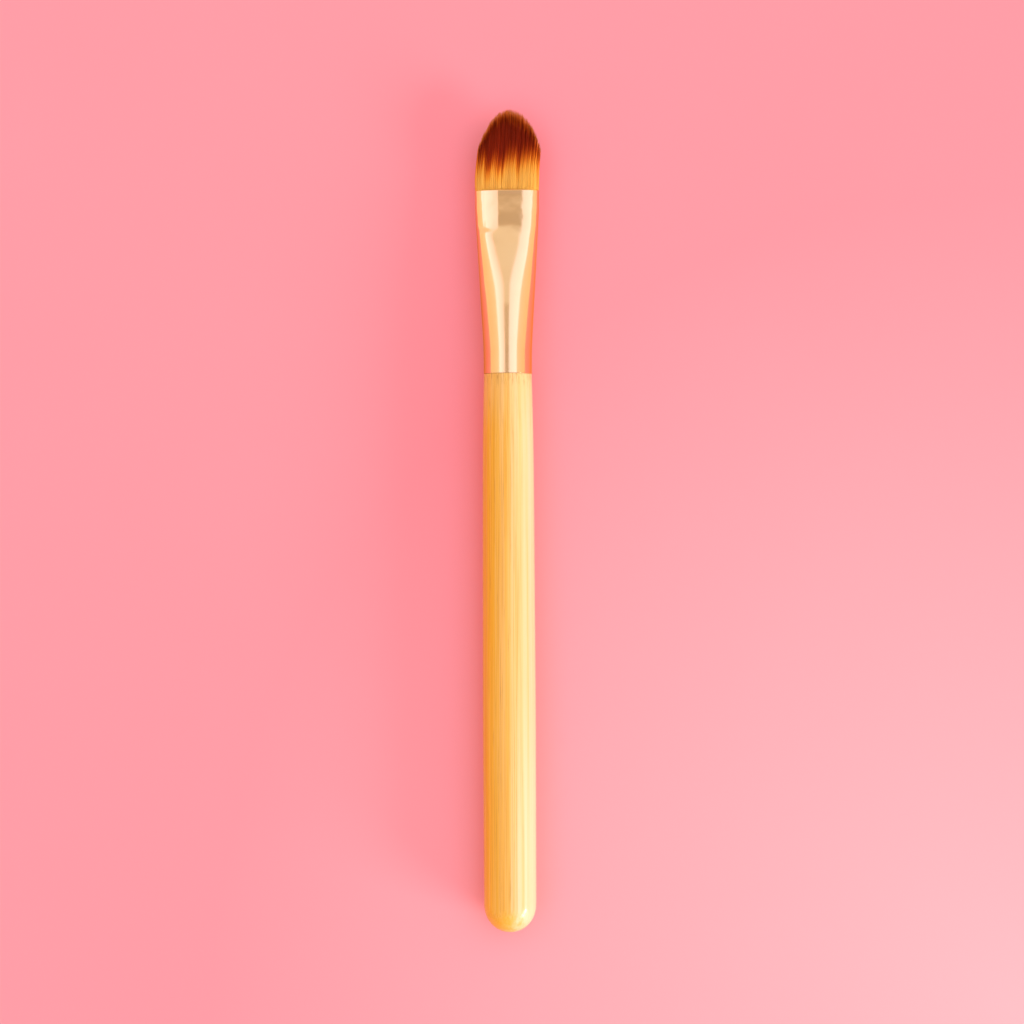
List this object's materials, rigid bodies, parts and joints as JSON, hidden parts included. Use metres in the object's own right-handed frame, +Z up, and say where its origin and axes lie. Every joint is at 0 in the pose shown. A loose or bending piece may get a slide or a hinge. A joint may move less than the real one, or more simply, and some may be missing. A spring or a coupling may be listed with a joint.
{
  "type": "concealer brush",
  "caption": "Flat domed cosmetic brush for concealer: a tuft of two-tone filaments in a pressed gold aluminium ferrule on a turned bamboo handle with a rounded butt.",
  "frame": {"origin": "on the surface that the brush lies on, under the middle of its box", "axes": "+Y along the brush, from the butt of the handle to the tip of the tuft; +Z up, square to the pressed faces of the ferrule; X across the flat of the tuft"},
  "size_m": [0.0119, 0.15, 0.0097],
  "materials": {
    "bamboo": "satin",
    "gold_aluminium": "polished",
    "filament": "satin",
    "resin": "gloss",
    "glue": "satin"
  },
  "bodies": {
    "root": {"handle": "bamboo", "ferrule": "gold_aluminium", "filament_tuft": "filament", "root_plug": "resin", "tenon_glue": "glue"}
  },
  "joints": []
}
